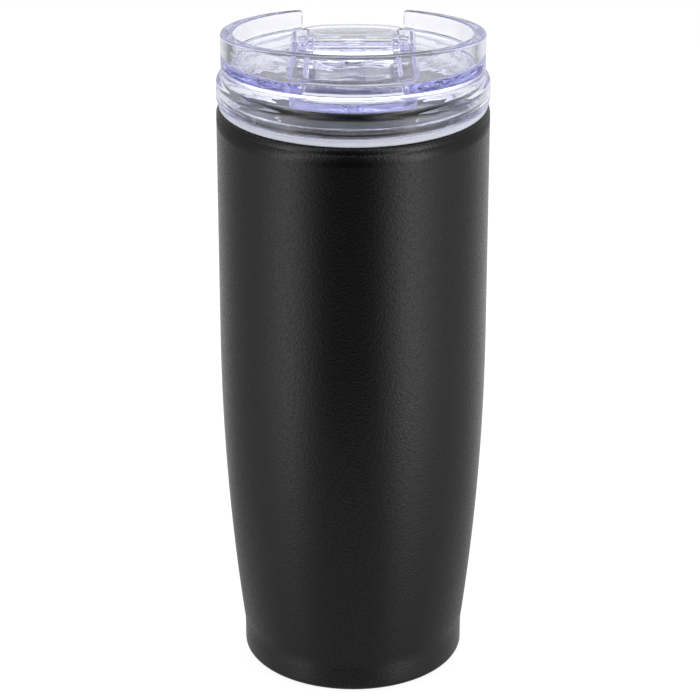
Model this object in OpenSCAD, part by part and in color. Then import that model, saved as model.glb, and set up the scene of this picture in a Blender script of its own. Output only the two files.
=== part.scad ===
// Insulated tumbler: double-wall steel body with a push-in clear lid and a flip cap.
// +Z is up, the origin is the centre of the foot's resting plane, and the drinking side is +Y.

/* [Body] */
// Height of the steel body, foot to mouth
body_h = 191; // [186:1:200]
// Largest outside diameter, at the upper half
body_d = 86.2; // [85.6:0.1:86.4]
// Outside diameter of the straight foot
foot_d = 72.8; // [72:0.2:73.4]
// Height above the foot at which the wall starts to curve inwards
curve_start = 114; // [112:1:116]
// Thickness of the outer steel wall
shell_t = 0.8; // [0.6:0.1:1]
// Thickness of the inner steel wall
liner_t = 0.6; // [0.5:0.1:0.8]
// Inside radius of the mouth
mouth_r = 39.4; // [39.3:0.1:39.5]

/* [Lid] */
// Height of the rim above the body at the lid's centre line
rim_mid = 23.9; // [23.5:0.1:25]
// Slope of the rim, lower on the drinking side
rim_slope = 6.1; // [5.5:0.1:6.5]
// Outside radius of the collar
collar_r = 41.45; // [41.2:0.05:41.6]
// Thickness of the collar at its highest point
collar_t = 4.5; // [4.3:0.05:4.7]
// Height of the deck's top face above the body at the lid's centre line
deck_mid = 16.2; // [16:0.1:16.4]
// Slope of the deck, which falls less steeply than the rim
deck_slope = 2.5; // [2:0.1:3]
// Thickness of the deck
deck_t = 3; // [2.4:0.1:3.2]
// Width of the notch that the thumb tab passes through
notch_w = 32.6; // [32.2:0.2:33]

/* [Trough and flip cap] */
// Inside width of the trough
trough_w = 29.2; // [29:0.1:29.6]
// Thickness of the trough's side walls
trough_side = 4.4; // [3:0.1:4.6]
// Height of the trough's floor above the body
floor_top = 11; // [10.6:0.1:11.2]
// Thickness of the trough's floor and front wall
floor_t = 2.8; // [2.4:0.1:3]
// Radius of the trough's curved front wall
dock_r = 27.8; // [27:0.1:29]
// Diameter of the hinge stubs on the flip cap
pin_d = 2.8; // [2.4:0.1:3]

/* [Hidden] */
$fn = 96;

// ---- body ----
body_r = body_d / 2;
foot_r = foot_d / 2;
foot_fillet = 2;               // round between the foot's side and its resting ring
foot_side_top = 8;             // top of the foot's straight side
foot_ring_r = 32.4;            // inner edge of the resting ring
curve_end = 13;                // height at which the long curve gives way to the foot
curve_r = 817;                 // radius of the long inward curve
shoulder_r = 2.1;              // round between the side and the mouth's flat lip
liner_out = mouth_r + liner_t; // outside radius of the liner at the mouth
gap = body_r - shell_t - liner_out;
liner_floor = 12;              // height of the drink's floor
liner_corner = 9;              // round between the drink's floor and wall
liner_base_r = 24;             // radius of the disc welded into the liner
base_z = 1.4;                  // height of the welded outer base
cover_t = 0.5;                 // thickness of the disc that hides the vacuum port
port_r = 4.5;                  // radius of the dimple around the vacuum port
foil_t = 0.12;
foil_gap = 0.04;
steps = 10;                    // segments in each modelled curve

// ---- lid ----
seat_h = 2.4;                  // thickness of the white ring between lid and body
tier_r = 43;                   // outside radius of the lid's lower tier
tier_in = 40;                  // inside radius of the lower tier
tier_side_top = 8.2;           // top of the lower tier's straight side
rim_max = 31;                  // height of the collar before its rim is cut to the slope
inner_draft = 0.06;            // how much wider the collar gets inside per millimetre downwards
under_draft = 0.26;            // how much narrower the space under the deck gets per millimetre upwards
skirt_out = 38.6;
skirt_in = 36.2;
skirt_depth = 12;
weld_h = 5;                    // top of the flange that is welded into the lower tier
weld_gap = 0.02;
groove_in = 37.3;              // bottom radius of the gasket's groove
groove_z = [-9, -4.6];
notch_floor = 11.2;            // height of the pouring lip
notch_round = 1.5;             // round where the notch's sides meet the rim

// ---- hinge ----
pin_y = 6.5;
pin_z = 17;
pin_clear = 0.06;              // radial clearance of the stubs in their bores
knuckle_r = 2.2;               // half the height of the cap's hinge block
knuckle_half = 12.4;
ear_t = 2.8;                   // thickness of each hinge ear
ear_half_y = 4.4;              // half the length of an ear
stub_end = trough_w / 2 + ear_t - 0.3;

// ---- drink opening and cap ----
slot_w = 22;
slot_d = 7;
slot_y = 27;
vent_r = 1.5;
vent_y = 14;
cap_half = trough_w / 2 - 0.3; // half width of the cap between the trough's walls
tab_half = notch_w / 2 - 0.3;  // half width of the cap in the notch
tab_r = 43;                    // radius of the tab's rear edge
tab_step = 34;                 // where the sloping top meets the flat tab
tab_top = 13.9;                // height of the tab where the slope meets it
tab_bottom = notch_floor + 0.2;
cap_t = 2;                     // thickness of the cap's plate
rail_t = 1.8;                  // thickness of the cap's side rails
rail_bottom = floor_top + 0.5;
rail_end = 34.5;
behind_ears = pin_y + ear_half_y + 0.4; // where the cap grows as wide as the trough
apron_t = 1.6;                 // thickness of the cap's wall at the hinge end
apron_bottom = floor_top + 1.05;
holder_t = 1.1;                // wall around each silicone seal
seal_top = 12.8;               // height to which the seals sit in their holders
seal_gap = 0.05;               // gap that stands for the seal's light squeeze
plug_depth = 1.2;

// Outside radius of the body at height z, from the foot to the shoulder.
function body_radius(z) =
    z >= curve_start ? body_r
    : z >= curve_end ? body_r - pow(curve_start - z, 2) / (2 * curve_r)
    : z >= foot_side_top ? let (
        top = body_r - pow(curve_start - curve_end, 2) / (2 * curve_r),
        t = (z - foot_side_top) / (curve_end - foot_side_top)
      ) foot_r + (top - foot_r) * t * t
    : foot_r;

// Points of an arc about [cx, cy] from angle a to angle b.
function arc(cx, cy, r, a, b, n = steps) =
    [for (i = [0:n]) let (t = a + (b - a) * i / n) [cx + r * cos(t), cy + r * sin(t)]];

// Heights that sample the body's curve closely where it bends and coarsely where it is straight.
wall_heights = concat(
    [for (i = [0:3]) foot_side_top + (curve_end - foot_side_top) * i / 3],
    [for (i = [1:14]) curve_end + (curve_start - curve_end) * i / 14]
);

// Side of the body moved inwards by d, from height low to height high.
function side(d, low, high) = concat(
    [[body_radius(low) - d, low]],
    [for (z = wall_heights) if (z > low && z < high) [body_radius(z) - d, z]],
    [[body_radius(high) - d, high]]
);

function reversed(points) = [for (i = [len(points) - 1:-1:0]) points[i]];

module outer_shell() {
    top = body_h - shoulder_r;
    in_fillet = foot_fillet - shell_t;
    color("#26262a") rotate_extrude() polygon(concat(
        [[foot_ring_r, 0]],
        arc(foot_r - foot_fillet, foot_fillet, foot_fillet, -90, 0, 6),
        side(0, foot_side_top, top),
        arc(body_r - shoulder_r, top, shoulder_r, 0, 90, 6),
        [[liner_out, body_h], [liner_out, body_h - shell_t]],
        reversed(arc(body_r - shoulder_r, top, shoulder_r - shell_t, 0, 90, 6)),
        reversed(side(shell_t, foot_side_top, top)),
        reversed(arc(foot_r - foot_fillet, foot_fillet, in_fillet, -90, 0, 6)),
        [[foot_ring_r + shell_t, shell_t], [foot_ring_r + shell_t, base_z + shell_t],
         [foot_ring_r, base_z + shell_t]]
    ));
}

// Disc welded inside the foot, with a dimple around the vacuum port.
module outer_base() {
    dimple = 1.6;
    color("#b9bbbf") difference() {
        union() {
            translate([0, 0, base_z]) cylinder(r = foot_ring_r - weld_gap, h = shell_t);
            translate([0, 0, base_z]) cylinder(r = port_r + shell_t, h = dimple + shell_t);
        }
        translate([0, 0, base_z - 1]) cylinder(r = port_r, h = dimple + 1);
        cylinder(r = 0.8, h = 10);
    }
}

module base_cover() {
    color("#c9cbcf")
        translate([0, 0, base_z - cover_t]) cylinder(r = foot_ring_r - 1.6, h = cover_t);
}

// Bead that closes the port after the air has been pumped out.
module vacuum_port_seal() {
    bead_r = 2.4;
    color("#7d7468") translate([0, 0, base_z + 1.6]) mirror([0, 0, 1]) cylinder(r = bead_r, h = 1.2);
}

// Small can of gas absorber, spot welded under the liner inside the vacuum.
module getter_capsule() {
    color("#8c8f94") translate([0, 13, liner_floor - liner_t - 2.2]) difference() {
        cylinder(r = 4.5, h = 2.2);
        translate([0, 0, -0.1]) cylinder(r = 3.6, h = 0.9);
    }
}

module copper_foil() {
    d = body_r - liner_out - foil_gap;
    low = 28;
    high = body_h - 16;
    color("#b4714a") rotate_extrude() polygon(concat(
        side(d - foil_t, low, high), reversed(side(d, low, high))
    ));
}

// Steel liner: mouth, wall and the rounded corner down to the welded disc.
module inner_vessel() {
    d = body_r - liner_out;
    corner_z = liner_floor + liner_corner;
    r_low = body_radius(corner_z) - d;
    inner_r = r_low - liner_t;
    color("#c4c6ca") rotate_extrude() polygon(concat(
        [[liner_base_r, liner_floor - liner_t]],
        arc(inner_r - liner_corner, corner_z, liner_corner + liner_t, -90, 0),
        side(d, corner_z + 1, body_h - 4),
        [[liner_out - weld_gap, body_h - shell_t - 0.4], [liner_out - weld_gap, body_h], [mouth_r, body_h]],
        reversed(side(d + liner_t, corner_z + 1, body_h - 4)),
        reversed(arc(inner_r - liner_corner, corner_z, liner_corner, -90, 0)),
        [[liner_base_r, liner_floor]]
    ));
}

module inner_vessel_base() {
    color("#b4b7bb") translate([0, 0, liner_floor - liner_t])
        cylinder(r = liner_base_r - weld_gap, h = liner_t);
}

// Box centred on X that runs from y0 to y1 and z0 to z1.
module span(half, y0, y1, z0, z1) {
    translate([-half, y0, z0]) cube([2 * half, y1 - y0, z1 - z0]);
}

// Rounded rectangle w by d, centred.
module round_rect(w, d, r) {
    square([w, d - 2 * r], center = true);
    square([w - 2 * r, d], center = true);
    for (x = [-1, 1], y = [-1, 1]) translate([x * (w / 2 - r), y * (d / 2 - r)]) circle(r);
}

// Everything above a plane that falls towards the drinking side and is at height h on the centre line.
module above(h, slope) {
    translate([0, 0, h]) rotate([-slope, 0, 0]) translate([-60, -60, 0]) cube([120, 120, 50]);
}

module below(h, slope) {
    translate([0, 0, h]) rotate([-slope, 0, 0]) translate([-60, -60, -50]) cube([120, 120, 50]);
}

// Collar, lower tier and sloping deck.
module lid_cup() {
    inside = collar_r - collar_t;
    under_h = rim_max - weld_h;
    difference() {
        rotate_extrude() polygon(concat(
            [[0, seat_h], [tier_r - 0.4, seat_h], [tier_r, seat_h + 0.4]],
            arc(tier_r - 1.5, tier_side_top, 1.5, 0, 75, 6),
            [[collar_r, tier_side_top + 3], [collar_r, rim_max], [0, rim_max]]
        ));
        intersection() {
            cylinder(r1 = inside + inner_draft * rim_max, r2 = inside, h = rim_max);
            above(deck_mid, deck_slope);
        }
        intersection() {
            union() {
                cylinder(r = tier_in, h = weld_h);
                translate([0, 0, weld_h])
                    cylinder(r1 = tier_in, r2 = tier_in - under_draft * under_h, h = under_h);
            }
            below(deck_mid - deck_t, deck_slope);
        }
    }
}

// Footprint of the trough, open at the back: a straight channel with a round front.
module trough_plan(half, front_r, back) {
    intersection() {
        translate([-half, -60]) square([2 * half, 60 + back]);
        union() {
            circle(front_r);
            translate([-half, 0]) square([2 * half, back]);
        }
    }
}

module lid_body() {
    half = trough_w / 2;
    trough_back = collar_r - collar_t - 0.2;
    color([0.86, 0.88, 0.97, 0.45]) translate([0, 0, body_h]) difference() {
        union() {
            lid_cup();
            intersection() {
                translate([0, 0, floor_top - floor_t]) linear_extrude(rim_max) intersection() {
                    trough_plan(half + trough_side, dock_r + floor_t, tier_in);
                    circle(tier_in);
                }
                below(deck_mid, deck_slope);
            }
            for (s = [-1, 1]) ear(s);
        }
        above(rim_mid, rim_slope);
        translate([0, 0, floor_top]) linear_extrude(30) intersection() {
            trough_plan(half, dock_r, trough_back);
            circle(trough_back);
        }
        notch();
        translate([0, slot_y, 0]) linear_extrude(30) round_rect(slot_w, slot_d, slot_d / 2 - 0.1);
        translate([0, vent_y, 0]) cylinder(r = vent_r, h = 30);
        translate([0, pin_y, pin_z]) rotate([0, 90, 0])
            cylinder(r = pin_d / 2 + pin_clear, h = 2 * (half + ear_t) + 0.1, center = true);
    }
}

// Gap in the back of the collar for the tab, with rounded corners at the rim and a low pouring lip.
module notch() {
    rim = rim_mid - (collar_r - collar_t / 2) * tan(rim_slope);
    half = notch_w / 2;
    span(half, 33, 60, notch_floor, 60);
    for (s = [-1, 1]) translate([s * half, 60, rim - notch_round]) rotate([90, 0, 0]) linear_extrude(40)
        difference() {
            translate([-notch_round, 0]) square([2 * notch_round, 12]);
            translate([s * notch_round, 0]) circle(notch_round);
            translate([s * notch_round, -1]) square([2 * notch_round, 2], center = true);
        }
}

// One of the two ears that carry the cap's hinge stubs.
module ear(s) {
    x0 = s > 0 ? trough_w / 2 : -trough_w / 2 - ear_t;
    translate([x0, pin_y, 0]) {
        translate([0, -ear_half_y, deck_mid - deck_t])
            cube([ear_t, 2 * ear_half_y, pin_z - deck_mid + deck_t]);
        translate([0, 0, pin_z]) rotate([0, 90, 0]) intersection() {
            cylinder(r = ear_half_y, h = ear_t);
            translate([-knuckle_r, -10, 0]) cube([knuckle_r + 1, 20, ear_t]);
        }
    }
}

// Plug skirt with its flange, welded inside the lower tier, and the groove for the gasket.
module lid_skirt() {
    color([0.86, 0.88, 0.97, 0.45]) translate([0, 0, body_h]) rotate_extrude() polygon([
        [skirt_in, -skirt_depth + 0.6], [skirt_in + 0.6, -skirt_depth], [skirt_out - 0.8, -skirt_depth],
        [skirt_out, -skirt_depth + 0.8], [skirt_out, groove_z[0]], [groove_in, groove_z[0]],
        [groove_in, groove_z[1]], [skirt_out, groove_z[1]], [skirt_out, seat_h],
        [tier_in - weld_gap, seat_h], [tier_in - weld_gap, weld_h], [skirt_in + 0.6, weld_h],
        [skirt_in, weld_h - 0.6]
    ]);
}

// White ring that shows between the lid and the body.
module seat_ring() {
    outer = 42.4;
    round_r = seat_h / 2 - 0.05;
    color("#e4e6ee") translate([0, 0, body_h]) rotate_extrude() polygon(concat(
        [[skirt_out + 0.1, 0], [outer - round_r, 0.02]],
        arc(outer - round_r, seat_h / 2, round_r, -80, 80, 8),
        [[outer - round_r, seat_h - 0.02], [skirt_out + 0.1, seat_h - 0.02]]
    ));
}

// Silicone gasket with two lips that wipe the inside of the mouth.
module lid_gasket() {
    lip = mouth_r - 0.2;
    mid = (groove_z[0] + groove_z[1]) / 2;
    z0 = groove_z[0] + 0.05;
    z1 = groove_z[1] - 0.05;
    color("#d9dbe2") translate([0, 0, body_h]) rotate_extrude() polygon([
        [groove_in + 0.05, z0], [skirt_out, z0], [lip, z0 + 0.5], [lip, z0 + 1.1],
        [skirt_out + 0.1, mid - 0.4], [skirt_out + 0.1, mid + 0.4],
        [lip, z1 - 1.1], [lip, z1 - 0.5], [skirt_out, z1], [groove_in + 0.05, z1]
    ]);
}

// Height of the cap's top face at distance y from the lid's centre.
function cap_top(y) =
    let (high = pin_z + knuckle_r)
    y < tab_step ? high - (high - tab_top) * (y - pin_y) / (tab_step - pin_y)
    : tab_top - 0.05 * (y - tab_step);

// Side view of the cap between y0 and y1, from its top face down to a flat bottom.
module cap_side(y0, y1, bottom) {
    polygon([[y0, bottom], [y0, cap_top(y0)], [y1, cap_top(y1)], [y1, bottom]]);
}

// Turns a side view in Y and Z into a solid 2 * half wide across X.
module across(half) {
    rotate([90, 0, 90]) linear_extrude(2 * half, center = true) children();
}

// Plate of even thickness from the hinge to the end of the tab.
module cap_plate() {
    intersection() {
        across(40) polygon([
            [pin_y, cap_top(pin_y) - cap_t], [pin_y, cap_top(pin_y)], [tab_step, tab_top],
            [tab_r, cap_top(tab_r)], [tab_r, tab_bottom], [tab_step, tab_bottom]
        ]);
        linear_extrude(30) cap_plan();
    }
}

// Block at the hinge, its two stubs and the apron that closes the cap's hinge end.
module cap_hinge() {
    front = pin_y - knuckle_r - 0.4;
    back = pin_y + knuckle_r;
    translate([0, pin_y, pin_z]) rotate([0, 90, 0])
        cylinder(r = pin_d / 2, h = 2 * stub_end, center = true);
    across(knuckle_half) polygon([
        [front, pin_z - knuckle_r], [front, pin_z + knuckle_r - 1], [front + 1, pin_z + knuckle_r],
        [pin_y, pin_z + knuckle_r], [back, cap_top(back)], [back, pin_z - knuckle_r]
    ]);
    translate([0, front + apron_t, (pin_z + apron_bottom) / 2]) rotate([90, 0, 0])
        linear_extrude(apron_t) round_rect(2 * knuckle_half, pin_z - apron_bottom, 2.4);
}

// Outlines of the two seals' holders, grown by d.
module holder_plan(d) {
    translate([0, slot_y]) round_rect(slot_w + 4 + 2 * d, slot_d + 4 + 2 * d, 4 + d);
    translate([0, vent_y]) circle(vent_r + 2.4 + d);
}

module flip_cap() {
    color([0.88, 0.9, 0.97, 0.45]) translate([0, 0, body_h]) difference() {
        union() {
            cap_plate();
            cap_hinge();
            for (s = [-1, 1]) translate([s * (cap_half - rail_t / 2), 0, 0])
                across(rail_t / 2) cap_side(behind_ears, rail_end, rail_bottom);
            intersection() {
                across(40) cap_side(pin_y, tab_step, rail_bottom);
                linear_extrude(30) holder_plan(0);
            }
        }
        linear_extrude(seal_top) holder_plan(-holder_t);
    }
}

// Outline of the cap seen from above, without its hinge stubs.
module cap_plan() {
    chamfer = 5;
    square_end = 36.5;
    intersection() {
        circle(tab_r);
        polygon([
            [-knuckle_half, pin_y], [knuckle_half, pin_y], [knuckle_half, behind_ears],
            [cap_half, behind_ears], [cap_half, square_end - 2], [tab_half, square_end],
            [tab_half, tab_r - chamfer], [tab_half - chamfer, tab_r],
            [chamfer - tab_half, tab_r], [-tab_half, tab_r - chamfer], [-tab_half, square_end],
            [-cap_half, square_end - 2], [-cap_half, behind_ears], [-knuckle_half, behind_ears]
        ]);
    }
}

// Silicone plug that closes the drink opening.
module stopper_seal() {
    w = slot_w + 4 - 2 * holder_t - 0.1;
    d = slot_d + 4 - 2 * holder_t - 0.1;
    low = floor_top + seal_gap;
    color("#dfe1e8") translate([0, slot_y, body_h]) {
        translate([0, 0, low]) linear_extrude(seal_top - 0.05 - low) round_rect(w, d, 2.8);
        translate([0, 0, floor_top - plug_depth]) linear_extrude(plug_depth + 0.5)
            round_rect(slot_w - 1.6, slot_d - 1.6, 2.6);
    }
}

// Flat silicone pad that closes the air vent.
module vent_seal() {
    low = floor_top + seal_gap;
    color("#dfe1e8") translate([0, vent_y, body_h + low])
        cylinder(r = vent_r + 2.4 - holder_t - 0.05, h = seal_top - 0.05 - low);
}

outer_shell();
outer_base();
base_cover();
vacuum_port_seal();
getter_capsule();
copper_foil();
inner_vessel();
inner_vessel_base();
lid_body();
lid_skirt();
seat_ring();
lid_gasket();
flip_cap();
stopper_seal();
vent_seal();
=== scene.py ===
"""Looks of the insulated tumbler with its clear flip-cap lid.

Shapes are worked out in millimetres, with z counted from the seam between body and lid,
and become metres in the row frame when a mesh is made.
"""
import math

import bpy
import numpy as np
from mathutils import Matrix, Vector

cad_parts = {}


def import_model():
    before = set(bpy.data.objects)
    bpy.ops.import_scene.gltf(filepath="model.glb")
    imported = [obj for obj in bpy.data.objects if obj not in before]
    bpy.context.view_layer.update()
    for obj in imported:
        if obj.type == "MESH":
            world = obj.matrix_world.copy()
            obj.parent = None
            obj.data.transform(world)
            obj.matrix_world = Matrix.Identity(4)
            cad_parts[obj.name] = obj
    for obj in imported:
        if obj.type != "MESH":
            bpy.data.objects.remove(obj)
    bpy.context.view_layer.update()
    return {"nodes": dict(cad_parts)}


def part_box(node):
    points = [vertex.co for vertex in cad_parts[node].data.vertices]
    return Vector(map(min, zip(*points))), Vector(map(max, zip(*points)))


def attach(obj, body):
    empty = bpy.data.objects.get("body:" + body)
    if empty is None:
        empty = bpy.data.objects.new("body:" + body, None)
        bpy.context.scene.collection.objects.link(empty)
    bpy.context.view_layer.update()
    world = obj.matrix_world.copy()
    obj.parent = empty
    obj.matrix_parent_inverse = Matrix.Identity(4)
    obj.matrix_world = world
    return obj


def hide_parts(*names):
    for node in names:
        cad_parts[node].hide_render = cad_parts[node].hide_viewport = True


MM = 0.001
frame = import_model()
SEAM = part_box("outer_shell")[1].z / MM          # height of the seam above the foot

# Body, in millimetres.
BODY_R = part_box("outer_shell")[1].y / MM
FOOT_R = 36.4
FOOT_FILLET = 2.0
FOOT_RING_R = 32.4
FOOT_SIDE_TOP = 8.0
CURVE_START, CURVE_END, CURVE_R = 114.0, 13.0, 817.0
SHOULDER_R = 2.1
SHELL_T, LINER_T = 0.8, 0.6
MOUTH_R = 39.4
LINER_FLOOR, LINER_CORNER, LINER_DISC_R = 12.0, 9.0, 24.0

# Lid, in millimetres above the seam.
SEAT_H = 2.4
TIER_R, TIER_IN, TIER_TOP = 43.0, 40.0, 9.7
COLLAR_R, COLLAR_T, COLLAR_DRAFT = 41.45, 4.5, 0.059
COLLAR_TOP = 31.0                                # height at which the collar is COLLAR_T thick
RIM_MID, RIM_SLOPE = 23.9, math.radians(6.1)
DECK_MID, DECK_SLOPE, DECK_T = 16.2, math.radians(2.5), 3.0
UNDER_DRAFT, UNDER_FROM = 0.26, 5.0              # the cavity under the deck narrows above UNDER_FROM
NOTCH_HALF, NOTCH_Y, LIP_TOP = 16.3, 33.0, 11.2
TROUGH_HALF, TROUGH_SIDE, DOCK_R, DOCK_REACH = 14.6, 4.4, 27.8, 37.6
FLOOR_TOP, FLOOR_T = 11.0, 2.8
PIN_Y, PIN_Z, PIN_R, PIN_CLEAR = 6.5, 17.0, 1.4, 0.06
KNUCKLE_R, KNUCKLE_HALF = 2.2, 12.4
EAR_T, EAR_HALF_Y = 2.8, 4.4
SLOT_Y, SLOT_HALF_X, SLOT_HALF_Y = 27.0, 11.0, 3.5
VENT_Y, VENT_R = 14.0, 1.5
TAB_STEP, TAB_TOP, TAB_R, TAB_HALF, TAB_CHAMFER = 34.0, 13.9, 43.0, 16.0, 5.0
BEHIND_EARS, SQUARE_END = 11.3, 36.5             # where the cap widens, going back from the hinge
CAP_T, CAP_HALF, RAIL_T = 2.0, 14.3, 1.8
HOLDER_T, SEAL_TOP = 1.1, 12.8
SKIRT_OUT, SKIRT_IN, SKIRT_DEPTH = 38.6, 36.2, 12.0
GROOVE_R, GROOVE_LOW, GROOVE_HIGH = 37.3, -9.0, -4.6


# ---- making meshes ----

def new_object(name, vertices, faces, smooth=True):
    """A mesh object from points in millimetres above the seam."""
    points = np.asarray(vertices, float) + (0, 0, SEAM)
    mesh = bpy.data.meshes.new(name)
    mesh.from_pydata((points * MM).tolist(), [], faces)
    mesh.polygons.foreach_set("use_smooth", [smooth] * len(mesh.polygons))
    mesh.update()
    obj = bpy.data.objects.new(name, mesh)
    bpy.context.scene.collection.objects.link(obj)
    return obj


def rounded(corners, per_arc=6):
    """Closed outline through corners (r, z, radius), each corner turned into an arc of its radius."""
    outline = []
    for i, (r, z, radius) in enumerate(corners):
        here = np.array((r, z), float)
        before = np.array(corners[i - 1][:2], float) - here
        after = np.array(corners[(i + 1) % len(corners)][:2], float) - here
        before_n, after_n = before / np.linalg.norm(before), after / np.linalg.norm(after)
        turn = math.acos(np.clip(before_n @ after_n, -1, 1))
        if radius < 1e-6 or turn > math.pi - 0.01:
            outline.append(tuple(here))
            continue
        reach = radius / math.tan(turn / 2)
        room = 0.48 * min(np.linalg.norm(before), np.linalg.norm(after))
        if reach > room:
            reach, radius = room, room * math.tan(turn / 2)
        bisector = before_n + after_n
        centre = here + bisector / np.linalg.norm(bisector) * radius / math.sin(turn / 2)
        a = here + before_n * reach - centre
        b = here + after_n * reach - centre
        sweep = math.atan2(a[0] * b[1] - a[1] * b[0], a @ b)
        for k in range(per_arc + 1):
            t = sweep * k / per_arc
            outline.append((centre[0] + a[0] * math.cos(t) - a[1] * math.sin(t),
                            centre[1] + a[0] * math.sin(t) + a[1] * math.cos(t)))
    return outline


def lathe(name, outline, segments=192):
    """Closed solid of revolution about Z of a closed outline of (r, z) points."""
    ring = np.array(outline, float)
    area = np.sum(ring[:, 0] * np.roll(ring[:, 1], -1) - np.roll(ring[:, 0], -1) * ring[:, 1])
    if area < 0:
        ring = ring[::-1]
    n = len(ring)
    angles = 2 * math.pi * np.arange(segments) / segments
    vertices = [(r * math.cos(a), r * math.sin(a), z) for a in angles for r, z in ring]
    faces = []
    for s in range(segments):
        t = (s + 1) % segments
        for i in range(n):
            j = (i + 1) % n
            faces.append((s * n + i, t * n + i, t * n + j, s * n + j))
    return new_object(name, vertices, faces)


def disc_lathe(name, outline, segments=192):
    """As lathe(), for an outline that starts and ends on the axis."""
    n = len(outline)
    angles = 2 * math.pi * np.arange(segments) / segments
    inner = outline[1:-1]
    m = len(inner)
    vertices = [(r * math.cos(a), r * math.sin(a), z) for a in angles for r, z in inner]
    vertices += [(0, 0, outline[0][1]), (0, 0, outline[-1][1])]
    first, last = segments * m, segments * m + 1
    faces = []
    for s in range(segments):
        t = (s + 1) % segments
        faces.append((first, t * m, s * m))
        faces += [(s * m + i, t * m + i, t * m + i + 1, s * m + i + 1) for i in range(m - 1)]
        faces.append((last, s * m + m - 1, t * m + m - 1))
    return new_object(name, vertices, faces)


# ---- moulded shapes: signed distances, negative inside ----

def meet(a, b, r=0.0):
    """What is in both a and b, with the edge between them rounded to radius r."""
    if r == 0:
        return np.maximum(a, b)
    return np.minimum(-r, np.maximum(a, b)) + np.hypot(np.maximum(a + r, 0), np.maximum(b + r, 0))


def join(a, b, r=0.0):
    """a and b together, with a fillet of radius r between them."""
    return -meet(-a, -b, r)


def cut(a, b, r=0.0):
    """a without b, with the edge between them rounded to radius r."""
    return meet(a, -b, r)


def slab(v, low, high):
    return np.maximum(low - v, v - high)


def rounded_box(u, v, half_u, half_v, r):
    """Signed distance to a rectangle with corner radius r."""
    p, q = np.abs(u) - half_u + r, np.abs(v) - half_v + r
    return np.minimum(np.maximum(p, q), 0) + np.hypot(np.maximum(p, 0), np.maximum(q, 0)) - r


def polygon(u, v, corners):
    """Signed distance to a polygon."""
    best = np.full(np.shape(u), 1e9)
    inside = np.zeros(np.shape(u), bool)
    for (au, av), (bu, bv) in zip(corners, corners[1:] + corners[:1]):
        eu, ev = bu - au, bv - av
        t = np.clip(((u - au) * eu + (v - av) * ev) / (eu * eu + ev * ev), 0, 1)
        best = np.minimum(best, np.hypot(u - au - t * eu, v - av - t * ev))
        crosses = ((av > v) != (bv > v)) & (u < (bu - au) * (v - av) / (bv - av + 1e-12) + au)
        inside ^= crosses
    return np.where(inside, -best, best)


def surface_net(shape, low, high, step):
    """Points and quads of the surface shape(x, y, z) = 0 between two corners, on a grid of that step."""
    axes = [np.arange(a - 2 * step, b + 2.5 * step, step) for a, b in zip(low, high)]
    x, y, z = np.meshgrid(*axes, indexing="ij", sparse=True)
    field = np.empty([len(a) for a in axes])
    for k in range(0, len(axes[2]), 16):
        field[:, :, k:k + 16] = shape(x, y, z[:, :, k:k + 16])
    inside = field < 0
    corners = [(i, j, k) for i in (0, 1) for j in (0, 1) for k in (0, 1)]

    def shifted(c):
        return tuple(slice(o, n - 1 + o) for o, n in zip(c, field.shape))

    count = sum(inside[shifted(c)].astype(np.int8) for c in corners)
    cells = np.argwhere((count > 0) & (count < 8))
    number = np.full(count.shape, -1)
    number[tuple(cells.T)] = np.arange(len(cells))

    total, hits = np.zeros((len(cells), 3)), np.zeros(len(cells))
    for a in corners:
        for n in range(3):
            if a[n]:
                continue
            b = tuple(v + (m == n) for m, v in enumerate(a))
            fa, fb = field[tuple((cells + a).T)], field[tuple((cells + b).T)]
            cross = (fa < 0) != (fb < 0)
            t = fa[cross] / (fa[cross] - fb[cross])
            total[cross] += cells[cross] + a
            total[cross, n] += t
            hits += cross
    place = total / hits[:, None]
    points = np.column_stack([axes[n][0] + place[:, n] * step for n in range(3)])

    quads = []
    for n in range(3):
        u, v = (n + 1) % 3, (n + 2) % 3
        before = tuple(slice(0, -1) if m == n else slice(1, -1) for m in range(3))
        after = tuple(slice(1, None) if m == n else slice(1, -1) for m in range(3))
        offset = np.array([0 if m == n else 1 for m in range(3)])
        for start, other, flip in ((before, after, False), (after, before, True)):
            at = np.argwhere(inside[start] & ~inside[other]) + offset
            eu, ev = np.eye(3, dtype=int)[u], np.eye(3, dtype=int)[v]
            around = [at - eu - ev, at - ev, at, at - eu]
            ring = np.column_stack([number[tuple(c.T)] for c in around])
            quads.append(ring[:, ::-1] if flip else ring)
    return points, np.vstack(quads)


def gradient(shape, points, h=0.02):
    steps = np.eye(3) * h
    return np.column_stack([
        (shape(*(points + s).T) - shape(*(points - s).T)) / (2 * h) for s in steps
    ])


def moulded(name, shape, low, high, step):
    """Object of a moulded shape, its points settled onto the true surface, with true normals."""
    points, quads = surface_net(shape, low, high, step)
    for _ in range(4):
        slope = gradient(shape, points)
        size = np.maximum((slope ** 2).sum(1), 0.25)
        move = slope * (shape(*points.T) / size)[:, None]
        points -= np.clip(move, -0.3 * step, 0.3 * step)
    obj = new_object(name, points, quads.tolist())
    slope = gradient(shape, points)
    normals = slope / np.maximum(np.linalg.norm(slope, axis=1), 1e-9)[:, None]
    obj.data.normals_split_custom_set_from_vertices(normals.tolist())
    return obj


def cap_top(y):
    """Height of the flip cap's top face at distance y from the lid's axis."""
    high = PIN_Z + KNUCKLE_R
    slope = (high - TAB_TOP) / (TAB_STEP - PIN_Y)
    return np.where(y < TAB_STEP, high - slope * (y - PIN_Y), TAB_TOP - 0.05 * (y - TAB_STEP))


def sloped(y, z, height, slope):
    """Signed distance above a plane that falls towards the back, at that height on the centre line."""
    return (z - height + y * math.tan(slope)) * math.cos(slope)


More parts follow.
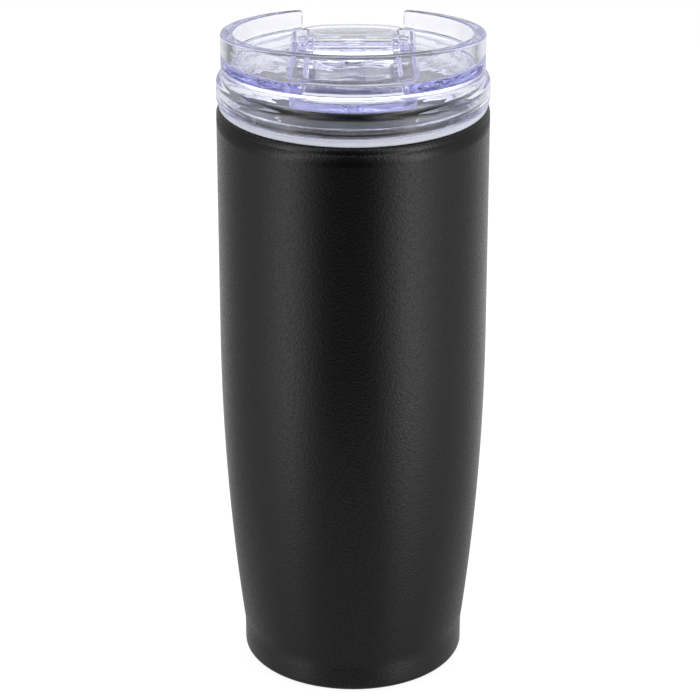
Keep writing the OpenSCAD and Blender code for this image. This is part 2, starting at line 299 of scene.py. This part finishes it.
def lid_shape(x, y, z):
    """Clear lid: lower tier, collar with its slanted rim, deck, trough, ears and openings."""
    rho, ax = np.hypot(x, y), np.abs(x)
    deck = sloped(y, z, DECK_MID, DECK_SLOPE)
    tier = meet(meet(rho - TIER_R, z - TIER_TOP, 1.5), SEAT_H - z, 0.8)
    solid = join(tier, meet(rho - COLLAR_R, SEAT_H - z), 1.2)
    well = meet(rho - (COLLAR_R - COLLAR_T + COLLAR_DRAFT * (COLLAR_TOP - z)), -deck, 0.8)
    solid = cut(solid, well)
    notch = meet(meet(ax - NOTCH_HALF, NOTCH_Y - y, 0.5), LIP_TOP - z, 0.5)
    solid = meet(solid, cut(sloped(y, z, RIM_MID, RIM_SLOPE), notch, 1.6), 0.9)
    under = meet(rho - (TIER_IN - UNDER_DRAFT * np.maximum(z - UNDER_FROM, 0)), deck + DECK_T, 2.0)
    solid = cut(solid, under, 0.4)
    front = np.hypot(x, np.minimum(y, 0))
    outside = meet(ax - TROUGH_HALF - TROUGH_SIDE, front - DOCK_R - FLOOR_T, 2.5)
    trough = meet(meet(outside, FLOOR_TOP - FLOOR_T - z, 1.0), np.maximum(deck, rho - TIER_IN))
    solid = join(solid, trough, 0.7)
    crown = np.hypot(y - PIN_Y, np.maximum(z - PIN_Z, 0))
    ear_side = np.maximum(np.abs(y - PIN_Y), crown) - EAR_HALF_Y
    ear_side = meet(ear_side, slab(z, DECK_MID - DECK_T, PIN_Z + KNUCKLE_R), 0.8)
    ears = meet(slab(ax, 12, TROUGH_HALF + EAR_T), ear_side, 0.5)
    solid = join(solid, ears, 0.5)
    dock = meet(ax - TROUGH_HALF, front - DOCK_R, 1.5)
    dock = meet(meet(dock, rho - DOCK_REACH, 1.0), FLOOR_TOP - z, 0.7)
    solid = cut(cut(solid, dock, 0.4), notch, 0.3)
    solid = cut(solid, rounded_box(x, y - SLOT_Y, SLOT_HALF_X, SLOT_HALF_Y, 3.4), 0.3)
    solid = cut(solid, np.hypot(x, y - VENT_Y) - VENT_R, 0.3)
    bore = np.maximum(np.hypot(y - PIN_Y, z - PIN_Z) - PIN_R - PIN_CLEAR, ax - TROUGH_HALF - EAR_T - 0.05)
    return cut(solid, bore, 0.1)


# Right half of the cap seen from above: narrow at the hinge, wider in the trough, widest at the tab.
CAP_OUTLINE = [
    (KNUCKLE_HALF, PIN_Y), (KNUCKLE_HALF, BEHIND_EARS), (CAP_HALF, BEHIND_EARS), (CAP_HALF, SQUARE_END - 2),
    (TAB_HALF, SQUARE_END), (TAB_HALF, TAB_R - TAB_CHAMFER), (TAB_HALF - TAB_CHAMFER, TAB_R),
]
CAP_OUTLINE += [(-a, b) for a, b in reversed(CAP_OUTLINE)]


def holders(x, y, grow):
    """Outlines of the stopper's and the vent pad's holders, grown by a distance."""
    stopper = rounded_box(x, y - SLOT_Y, SLOT_HALF_X + 2 + grow, SLOT_HALF_Y + 2 + grow, 4 + grow)
    return np.minimum(stopper, np.hypot(x, y - VENT_Y) - VENT_R - 2.4 - grow)


def cap_shape(x, y, z):
    """Clear flip cap: plate with the thumb tab, rails, seal holders, apron, hinge block and stubs."""
    ax, rho = np.abs(x), np.hypot(x, y)
    top = (z - cap_top(y)) * 0.985
    plan = meet(polygon(x + 0 * y, y + 0 * x, CAP_OUTLINE), rho - TAB_R, 2.0)
    underside = np.maximum(cap_top(y) - CAP_T, LIP_TOP + 0.2)
    plate = meet(meet(plan, top, 0.5), underside - z, 0.4)
    rails = meet(slab(ax, CAP_HALF - RAIL_T, CAP_HALF), slab(y, BEHIND_EARS, SQUARE_END - 2), 0.5)
    rails = meet(meet(rails, FLOOR_TOP + 0.5 - z, 0.4), top)
    rings = meet(meet(holders(x, y, 0), FLOOR_TOP + 0.5 - z, 0.3), top)
    solid = join(join(plate, rails, 0.4), rings, 0.4)
    solid = cut(solid, np.maximum(holders(x, y, -HOLDER_T), z - SEAL_TOP), 0.2)
    reach = np.hypot(y - PIN_Y, z - PIN_Z)
    face = PIN_Y - KNUCKLE_R - 0.4
    crown = np.minimum(PIN_Z + KNUCKLE_R, cap_top(y))
    block = meet(slab(y, face, PIN_Y + KNUCKLE_R), np.maximum(PIN_Z - KNUCKLE_R - z, z - crown), 0.9)
    block = meet(block, ax - KNUCKLE_HALF, 0.4)
    low = FLOOR_TOP + 1.05
    half_z = (PIN_Z - low) / 2
    panel = rounded_box(x, z - low - half_z, KNUCKLE_HALF, half_z, 2.4)
    apron = meet(panel, slab(y, face, face + 1.6), 0.5)
    solid = join(join(solid, block, 0.3), apron, 0.6)
    stubs = meet(reach - PIN_R, ax - TROUGH_HALF - EAR_T + 0.3, 0.3)
    return join(solid, stubs, 0.3)


def stopper_shape(x, y, z):
    """Silicone plug of the drink slot, with its rounded flange in the cap's holder."""
    low = FLOOR_TOP + 0.05
    flange = meet(rounded_box(x, y - SLOT_Y, 11.85, 4.35, 2.8), slab(z, low, SEAL_TOP - 0.05), 0.4)
    nose = rounded_box(x, y - SLOT_Y, SLOT_HALF_X - 0.8, SLOT_HALF_Y - 0.8, 2.6)
    nose = meet(nose, slab(z, FLOOR_TOP - 1.2, low + 0.5), 0.6)
    return join(flange, nose, 0.0)


# ---- materials ----

def material(name):
    """New material with an empty node tree and its output."""
    mat = bpy.data.materials.new(name)
    mat.use_nodes = True
    tree = mat.node_tree
    tree.nodes.clear()
    out = tree.nodes.new("ShaderNodeOutputMaterial")
    return mat, tree, out


def principled(tree, out, **values):
    """Principled shader with values set on its own sockets."""
    shader = tree.nodes.new("ShaderNodeBsdfPrincipled")
    for key, value in values.items():
        shader.inputs[key.replace("_", " ")].default_value = value
    tree.links.new(shader.outputs["BSDF"], out.inputs["Surface"])
    return shader


def noise(tree, scale, detail=2.0, roughness=0.5, stretch=None):
    """Noise over the object's own coordinates, in features per metre."""
    coords = tree.nodes.new("ShaderNodeTexCoord")
    node = tree.nodes.new("ShaderNodeTexNoise")
    node.inputs["Scale"].default_value = scale
    node.inputs["Detail"].default_value = detail
    node.inputs["Roughness"].default_value = roughness
    source = coords.outputs["Object"]
    if stretch:
        mapping = tree.nodes.new("ShaderNodeMapping")
        mapping.inputs["Scale"].default_value = stretch
        tree.links.new(source, mapping.inputs["Vector"])
        source = mapping.outputs["Vector"]
    tree.links.new(source, node.inputs["Vector"])
    return node.outputs["Fac"]


def ramp(tree, value, low, high, low_to, high_to):
    """A value mapped from low..high to low_to..high_to."""
    node = tree.nodes.new("ShaderNodeMapRange")
    for socket, number in zip(("From Min", "From Max", "To Min", "To Max"), (low, high, low_to, high_to)):
        node.inputs[socket].default_value = number
    tree.links.new(value, node.inputs["Value"])
    return node.outputs["Result"]


def mix_colours(tree, factor, a, b):
    node = tree.nodes.new("ShaderNodeMix")
    node.data_type = "RGBA"
    node.inputs["A"].default_value = (*a, 1)
    node.inputs["B"].default_value = (*b, 1)
    tree.links.new(factor, node.inputs["Factor"])
    return node.outputs["Result"]


def bump(tree, shader, height, distance, strength=1.0):
    node = tree.nodes.new("ShaderNodeBump")
    node.inputs["Distance"].default_value = distance
    node.inputs["Strength"].default_value = strength
    tree.links.new(height, node.inputs["Height"])
    tree.links.new(node.outputs["Normal"], shader.inputs["Normal"])


def powder_coat():
    """Matt black powder coat: fine grain in colour, gloss and relief."""
    mat, tree, out = material("powder_coat")
    shader = principled(tree, out, IOR=1.5)
    grain = noise(tree, 1300, 2.0, 0.7)
    speck = ramp(tree, grain, 0.36, 0.66, 0.0, 1.0)
    tree.links.new(mix_colours(tree, speck, (0.0002, 0.0002, 0.0002), (0.0050, 0.0050, 0.0052)),
                   shader.inputs["Base Color"])
    tree.links.new(ramp(tree, grain, 0.3, 0.7, 0.36, 0.16), shader.inputs["Roughness"])
    bump(tree, shader, grain, 0.0003, 0.33)
    return mat


def steel(name, roughness, scratch=(1, 1, 60), tint=(0.60, 0.61, 0.63)):
    mat, tree, out = material(name)
    shader = principled(tree, out, Metallic=1.0, Roughness=roughness)
    lines = noise(tree, 40, 4.0, 0.7, scratch)
    darker = tuple(0.86 * c for c in tint)
    colour = mix_colours(tree, ramp(tree, lines, 0.3, 0.7, 0, 1), darker, tint)
    tree.links.new(colour, shader.inputs["Base Color"])
    tree.links.new(ramp(tree, lines, 0.3, 0.7, roughness * 0.8, roughness * 1.25), shader.inputs["Roughness"])
    bump(tree, shader, lines, 0.00002, 0.5)
    return mat


def liner_steel():
    """Drawn steel, brushed, rougher at the mouth and smoother further down, with painted light: its colour is
    painted brighter at the mouth and darker further down as painted shade.
    """
    mat, tree, out = material("liner_steel")
    shader = principled(tree, out, Metallic=1.0)
    coords = tree.nodes.new("ShaderNodeTexCoord")
    split = tree.nodes.new("ShaderNodeSeparateXYZ")
    tree.links.new(coords.outputs["Object"], split.inputs["Vector"])
    # Painted light: this height mask paints the steel bright near the mouth and dark lower down as painted
    # shade; it also sets the roughness.
    painted_light_mouth_zone = ramp(tree, split.outputs["Z"], (SEAM - 27) * MM, (SEAM - 20) * MM, 0.0, 1.0)
    lines = ramp(tree, noise(tree, 40, 4.0, 0.7, (1, 1, 60)), 0.3, 0.7, 0.0, 1.0)
    height = tree.nodes.new("ShaderNodeMix")
    height.data_type = "RGBA"
    tree.links.new(painted_light_mouth_zone, height.inputs["Factor"])
    # Painted shade colours (dark, lower down) and painted light colours (bright, at the mouth) of the same
    # steel.
    tree.links.new(mix_colours(tree, lines, (0.22, 0.22, 0.23), (0.33, 0.33, 0.34)), height.inputs["A"])
    tree.links.new(mix_colours(tree, lines, (0.80, 0.80, 0.82), (0.92, 0.92, 0.94)), height.inputs["B"])
    tree.links.new(height.outputs["Result"], shader.inputs["Base Color"])
    tree.links.new(ramp(tree, painted_light_mouth_zone, 0.0, 1.0, 0.07, 0.40), shader.inputs["Roughness"])
    bump(tree, shader, lines, 0.00002, 0.5)
    return mat


def clear_plastic():
    """Injection-moulded clear plastic, faintly wavy along the flow, violet where it is seen edge on."""
    mat, tree, out = material("clear_plastic")
    shader = principled(tree, out, IOR=1.52)
    shader.inputs["Base Color"].default_value = (1, 1, 1, 1)
    shader.inputs["Transmission Weight"].default_value = 1.0
    handling = noise(tree, 900, 4.0, 0.6)
    tree.links.new(ramp(tree, handling, 0.55, 0.75, 0.0, 0.05), shader.inputs["Roughness"])
    flow = noise(tree, 45, 2.0, 0.5, (1, 1, 5))
    bump(tree, shader, flow, 0.0006, 0.35)
    volume = tree.nodes.new("ShaderNodeVolumeAbsorption")
    volume.inputs["Color"].default_value = (0.36, 0.37, 0.79, 1)
    volume.inputs["Density"].default_value = 24.0
    tree.links.new(volume.outputs["Volume"], out.inputs["Volume"])
    return mat


def silicone(name, colour, translucent, roughness=0.38):
    mat, tree, out = material(name)
    shader = principled(tree, out, Roughness=roughness, IOR=1.41)
    mottle = noise(tree, 300, 3.0)
    darker = tuple(0.95 * c for c in colour)
    tree.links.new(mix_colours(tree, mottle, darker, colour), shader.inputs["Base Color"])
    shader.inputs["Subsurface Weight"].default_value = 0.3
    shader.inputs["Subsurface Radius"].default_value = (0.002, 0.002, 0.0022)
    shader.inputs["Transmission Weight"].default_value = translucent
    bump(tree, shader, noise(tree, 1500, 2.0), 0.00001, 0.4)
    return mat


def copper():
    return steel("copper_layer", 0.3, (1, 1, 8), (0.75, 0.42, 0.28))


def solder_glass():
    mat, tree, out = material("solder_glass")
    shader = principled(tree, out, Roughness=0.25)
    tree.links.new(mix_colours(tree, noise(tree, 900), (0.16, 0.14, 0.11), (0.3, 0.27, 0.22)),
                   shader.inputs["Base Color"])
    return mat


# ---- pieces ----

def body_radius(z):
    """Outside radius of the body at height z above the foot."""
    if z >= CURVE_START:
        return BODY_R
    if z >= CURVE_END:
        return BODY_R - (CURVE_START - z) ** 2 / (2 * CURVE_R)
    low = BODY_R - (CURVE_START - CURVE_END) ** 2 / (2 * CURVE_R)
    t = max(z - FOOT_SIDE_TOP, 0) / (CURVE_END - FOOT_SIDE_TOP)
    return FOOT_R + (low - FOOT_R) * t * t


def side(inwards, low, high, spacing=4.0):
    """Points up the body's side, moved inwards, from height low to height high above the foot."""
    count = max(2, round((high - low) / spacing))
    bends = (FOOT_SIDE_TOP, 9.6, 11.3, CURVE_END)  # heights at which the side turns into the foot
    heights = set(np.linspace(low, high, count + 1)) | {h for h in bends if low < h < high}
    return [(body_radius(z) - inwards, z - SEAM) for z in sorted(heights)]


def arc(r, z, radius, start, end, count=8):
    """Arc about (r, z), angles in degrees, z above the seam."""
    return [(r + radius * math.cos(math.radians(a)), z + radius * math.sin(math.radians(a)))
            for a in np.linspace(start, end, count + 1)]


def outer_shell():
    foot = -SEAM
    outside = arc(FOOT_R - FOOT_FILLET, foot + FOOT_FILLET, FOOT_FILLET, -90, 0)
    outside += side(0, FOOT_SIDE_TOP, SEAM - SHOULDER_R)
    outside += arc(BODY_R - SHOULDER_R, -SHOULDER_R, SHOULDER_R, 0, 90)
    lip_in = MOUTH_R + LINER_T
    inside = arc(BODY_R - SHOULDER_R, -SHOULDER_R, SHOULDER_R - SHELL_T, 90, 0)
    inside += side(SHELL_T, FOOT_SIDE_TOP, SEAM - SHOULDER_R)[::-1]
    inside += arc(FOOT_R - FOOT_FILLET, foot + FOOT_FILLET, FOOT_FILLET - SHELL_T, 0, -90)
    lip = [(lip_in, 0), (lip_in, -SHELL_T)]
    ring = [(FOOT_RING_R + SHELL_T, foot + SHELL_T), (FOOT_RING_R + SHELL_T, foot + 2.2),
            (FOOT_RING_R, foot + 2.2), (FOOT_RING_R, foot + 0.3), (FOOT_RING_R + 0.3, foot)]
    return lathe("outer_shell_coated", outside + lip + inside + ring, 256)


def inner_vessel():
    inwards = BODY_R - MOUTH_R - LINER_T
    corner = LINER_FLOOR + LINER_CORNER
    inner_r = body_radius(corner) - inwards - LINER_T
    centre_r, centre_z = inner_r - LINER_CORNER, corner - SEAM
    outside = [(LINER_DISC_R, LINER_FLOOR - LINER_T - SEAM)]
    outside += arc(centre_r, centre_z, LINER_CORNER + LINER_T, -90, 0, 12)
    outside += side(inwards, corner + 1, SEAM - 4)
    top = [(MOUTH_R + LINER_T - 0.02, -1.2), (MOUTH_R + LINER_T - 0.02, -0.15), (MOUTH_R + LINER_T - 0.17, 0),
           (MOUTH_R + 0.15, 0), (MOUTH_R, -0.15)]
    inside = side(inwards + LINER_T, corner + 1, SEAM - 4)[::-1]
    inside += arc(centre_r, centre_z, LINER_CORNER, 0, -90, 12)
    inside += [(LINER_DISC_R, LINER_FLOOR - SEAM)]
    return lathe("steel_liner", outside + top + inside, 256)


def liner_disc():
    low = LINER_FLOOR - LINER_T - SEAM
    r = LINER_DISC_R - 0.02
    rings = [(r * k / 12, low + LINER_T) for k in range(12, 0, -1)]
    under = [(r * k / 4, low) for k in range(1, 5)]
    return disc_lathe("liner_disc", [(0, low)] + under + rings + [(0, low + LINER_T)])


def seat_ring():
    inner, outer, high = SKIRT_OUT + 0.1, 42.4, SEAT_H - 0.02
    r = SEAT_H / 2 - 0.03
    return lathe("white_seat_ring", rounded([
        (inner, 0.0, 0.2), (outer, 0.0, r), (outer, high, r), (inner, high, 0.2)
    ], 10), 256)


def lid_skirt():
    return lathe("clear_skirt", rounded([
        (SKIRT_IN, -SKIRT_DEPTH, 0.7), (SKIRT_OUT, -SKIRT_DEPTH, 0.9), (SKIRT_OUT, GROOVE_LOW, 0.15),
        (GROOVE_R, GROOVE_LOW, 0.15), (GROOVE_R, GROOVE_HIGH, 0.15), (SKIRT_OUT, GROOVE_HIGH, 0.15),
        (SKIRT_OUT, SEAT_H, 0.2), (TIER_IN - 0.02, SEAT_H, 0.1), (TIER_IN - 0.02, 5, 0.1), (SKIRT_IN, 5, 0.7)
    ]), 256)


def gasket():
    lip, mid = MOUTH_R - 0.2, (GROOVE_LOW + GROOVE_HIGH) / 2
    low, high = GROOVE_LOW + 0.05, GROOVE_HIGH - 0.05
    return lathe("lip_gasket", rounded([
        (GROOVE_R + 0.05, low, 0.1), (SKIRT_OUT, low, 0.1), (lip, low + 0.5, 0.25), (lip, low + 1.1, 0.25),
        (SKIRT_OUT + 0.1, mid - 0.4, 0.3), (SKIRT_OUT + 0.1, mid + 0.4, 0.3),
        (lip, high - 1.1, 0.25), (lip, high - 0.5, 0.25), (SKIRT_OUT, high, 0.1), (GROOVE_R + 0.05, high, 0.1)
    ], 4), 192)


def vent_pad():
    r, low, high = VENT_R + 1.25, FLOOR_TOP + 0.05, SEAL_TOP - 0.05
    outline = [(0, low), (r - 0.3, low), (r, low + 0.3), (r, high - 0.2), (r - 0.2, high), (0, high)]
    pad = disc_lathe("vent_pad", outline, 48)
    pad.data.transform(Matrix.Translation((0, VENT_Y * MM, 0)))
    return pad


def clear_lid():
    return moulded("clear_lid", lid_shape, (-TIER_R, -TIER_R, SEAT_H), (TIER_R, TIER_R, 30.2), 0.55)


def clear_cap():
    return moulded("clear_flip_cap", cap_shape, (-17.3, 3.5, 11), (17.3, TAB_R, 19.5), 0.35)


def stopper():
    return moulded("drink_stopper", stopper_shape, (-12, 22.5, 9.6), (12, 31.5, 13.3), 0.3)


def place(obj, mat, body, slot, *nodes):
    """Gives a piece its material and body, and hides the CAD nodes it stands for. slot is not used."""
    obj.data.materials.append(mat)
    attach(obj, body)
    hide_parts(*nodes)
    return obj


def repaint(node, mat):
    """Gives a carried-over CAD node a material."""
    mesh = frame["nodes"][node].data
    mesh.materials.clear()
    mesh.materials.append(mat)


def build():
    coat, drawn_steel = powder_coat(), liner_steel()
    base_steel = steel("base_steel", 0.3, (6, 6, 6))
    plastic = clear_plastic()
    white = silicone("white_silicone", (0.80, 0.83, 0.92), 0.0)
    frosted = silicone("frosted_silicone", (0.93, 0.94, 0.96), 0.9, 0.2)
    place(outer_shell(), coat, "tumbler", "powder_coat", "outer_shell")
    place(inner_vessel(), drawn_steel, "tumbler", "steel", "inner_vessel")
    place(liner_disc(), drawn_steel, "tumbler", "steel", "inner_vessel_base")
    place(clear_lid(), plastic, "lid", "clear_plastic", "lid_body")
    place(lid_skirt(), plastic, "lid", "clear_plastic", "lid_skirt")
    place(seat_ring(), white, "lid", "white_silicone", "seat_ring")
    place(gasket(), white, "lid", "white_silicone", "lid_gasket")
    place(clear_cap(), plastic, "cap", "clear_plastic", "flip_cap")
    place(stopper(), frosted, "cap", "clear_silicone", "stopper_seal")
    place(vent_pad(), frosted, "cap", "clear_silicone", "vent_seal")
    repaint("outer_base", base_steel)
    repaint("base_cover", base_steel)
    repaint("getter_capsule", base_steel)
    repaint("copper_foil", copper())
    repaint("vacuum_port_seal", solder_glass())


# ---- stage ----

def camera():
    data = bpy.data.cameras.new("camera")
    data.lens, data.sensor_width = 143.95, 36.0
    obj = bpy.data.objects.new("camera", data)
    obj.location = (-0.0010, -0.8387, SEAM * MM + 0.2776)
    obj.rotation_euler = (math.radians(90 - 23.33), 0, 0)
    bpy.context.scene.collection.objects.link(obj)
    bpy.context.scene.camera = obj


def softbox(name, azimuth, elevation, distance, width, height, power):
    """Rectangular light that faces the tumbler's upper half. Azimuth 0 is the camera's side."""
    data = bpy.data.lights.new(name, "AREA")
    data.shape, data.size, data.size_y, data.energy = "RECTANGLE", width, height, power
    obj = bpy.data.objects.new(name, data)
    a, e = math.radians(azimuth), math.radians(elevation)
    target = Vector((0, 0, 0.12))
    away = Vector((math.sin(a) * math.cos(e), -math.cos(a) * math.cos(e), math.sin(e)))
    obj.location = target + away * distance
    obj.rotation_euler = away.to_track_quat("Z", "Y").to_euler()
    obj.visible_camera = False
    obj.visible_transmission = False
    bpy.context.scene.collection.objects.link(obj)


# Brightness of what reflections see round the horizon: (place from front -1 to back 1, radiance).
SURROUND = [(-1.0, 0.0), (-0.94, 0.0), (-0.78, 1.0), (-0.61, 2.2), (-0.35, 1.15),
            (0.0, 0.62), (0.5, 0.5), (1.0, 0.8)]
SURROUND_MAX = 2.2


def maths(tree, operation, *values):
    """Math node over sockets and plain numbers."""
    node = tree.nodes.new("ShaderNodeMath")
    node.operation = operation
    for socket, value in zip(node.inputs, values):
        if isinstance(value, (int, float)):
            socket.default_value = value
        else:
            tree.links.new(value, socket)
    return node.outputs["Value"]


def background(tree, value, strength=1.0):
    node = tree.nodes.new("ShaderNodeBackground")
    tree.links.new(value, node.inputs["Color"])
    node.inputs["Strength"].default_value = strength
    return node.outputs["Background"]


def around_horizon(tree, x, y):
    """Direction round the horizon: -1 in front, a little left of the camera, to 1 opposite it."""
    across, along = maths(tree, "MULTIPLY", x, x), maths(tree, "MULTIPLY", y, y)
    flat = maths(tree, "SQRT", maths(tree, "ADD", across, along))
    turned = maths(tree, "ADD", y, maths(tree, "MULTIPLY", x, 0.06))
    return maths(tree, "DIVIDE", turned, maths(tree, "MAXIMUM", flat, 0.05))


def reflected_light(tree, around, x, z):
    """What reflections see: tall soft lights at both sides, fading above and below, and a dim floor."""
    table = tree.nodes.new("ShaderNodeValToRGB")
    stops = table.color_ramp.elements
    while len(stops) < len(SURROUND):
        stops.new(0.5)
    for stop, (direction, radiance) in zip(stops, SURROUND):
        stop.position = (direction + 1) / 2
        stop.color = (radiance / SURROUND_MAX,) * 3 + (1,)
    tree.links.new(ramp(tree, around, -1, 1, 0, 1), table.inputs["Fac"])
    sides = maths(tree, "MULTIPLY", table.outputs["Color"], ramp(tree, x, -1, 1, 0.88, 1.12))
    sides = maths(tree, "MULTIPLY", sides, ramp(tree, z, -0.56, -0.40, 0.22, 1.0))
    sides = maths(tree, "MULTIPLY", sides, ramp(tree, z, -0.36, -0.22, 1.0, 0.7))
    low = maths(tree, "MULTIPLY", ramp(tree, z, -0.54, -0.38, 0.46 / SURROUND_MAX, 0.0),
                ramp(tree, z, -0.72, -0.58, 0.72, 1.0))
    return background(tree, maths(tree, "MAXIMUM", sides, low), SURROUND_MAX)


def refracted_light(tree, around, z):
    """What is seen through the clear plastic: bright overhead and behind, dim round the horizon."""
    overhead = ramp(tree, z, 0.1, 0.7, 0.25, 2.6)
    behind = ramp(tree, around, 0.75, 0.95, 0.25, 1.0)
    return background(tree, maths(tree, "MAXIMUM", overhead, behind), 1.05)


def world():
    """Studio light, given separately to camera, refracted and other rays."""
    scene_world = bpy.data.worlds.new("studio")
    bpy.context.scene.world = scene_world
    scene_world.use_nodes = True
    tree = scene_world.node_tree
    tree.nodes.clear()
    out = tree.nodes.new("ShaderNodeOutputWorld")
    coords = tree.nodes.new("ShaderNodeTexCoord")
    split = tree.nodes.new("ShaderNodeSeparateXYZ")
    tree.links.new(coords.outputs["Generated"], split.inputs["Vector"])
    x, y, z = (split.outputs[axis] for axis in "XYZ")
    around = around_horizon(tree, x, y)
    shader, through = reflected_light(tree, around, x, z), refracted_light(tree, around, z)
    seen = tree.nodes.new("ShaderNodeBackground")
    seen.inputs["Color"].default_value = (1, 1, 1, 1)
    path = tree.nodes.new("ShaderNodeLightPath")
    for ray, radiance in (("Is Transmission Ray", through), ("Is Camera Ray", seen.outputs["Background"])):
        mix = tree.nodes.new("ShaderNodeMixShader")
        tree.links.new(path.outputs[ray], mix.inputs["Fac"])
        tree.links.new(shader, mix.inputs[1])
        tree.links.new(radiance, mix.inputs[2])
        shader = mix.outputs["Shader"]
    tree.links.new(shader, out.inputs["Surface"])


def floor():
    mat, tree, out = material("pale_floor")
    shader = principled(tree, out, Roughness=0.8)
    shader.inputs["Base Color"].default_value = (0.2, 0.2, 0.2, 1)
    shader.inputs["Emission Color"].default_value = (1, 1, 1, 1)
    shader.inputs["Emission Strength"].default_value = 0.90
    radius, count = 0.7, 64
    rim = [(radius * math.cos(2 * math.pi * k / count), radius * math.sin(2 * math.pi * k / count), 0)
           for k in range(count)]
    mesh = bpy.data.meshes.new("floor")
    mesh.from_pydata(rim, [], [tuple(range(count))])
    mesh.materials.append(mat)
    obj = bpy.data.objects.new("floor", mesh)
    obj.visible_glossy = False
    bpy.context.scene.collection.objects.link(obj)


def stage():
    scene = bpy.context.scene
    scene.view_settings.view_transform = "Standard"
    # Light that runs inside the clear plastic counts as glossy each time it reflects from within.
    scene.cycles.max_bounces = scene.cycles.transmission_bounces = scene.cycles.glossy_bounces = 24
    world()
    floor()
    softbox("softbox_right", 55, 28, 1.1, 0.35, 1.0, 1.6)
    softbox("softbox_left", -55, 28, 1.1, 0.35, 1.0, 1.2)
    softbox("softbox_top", 180, 75, 1.3, 1.0, 1.0, 6)


build()
camera()
stage()
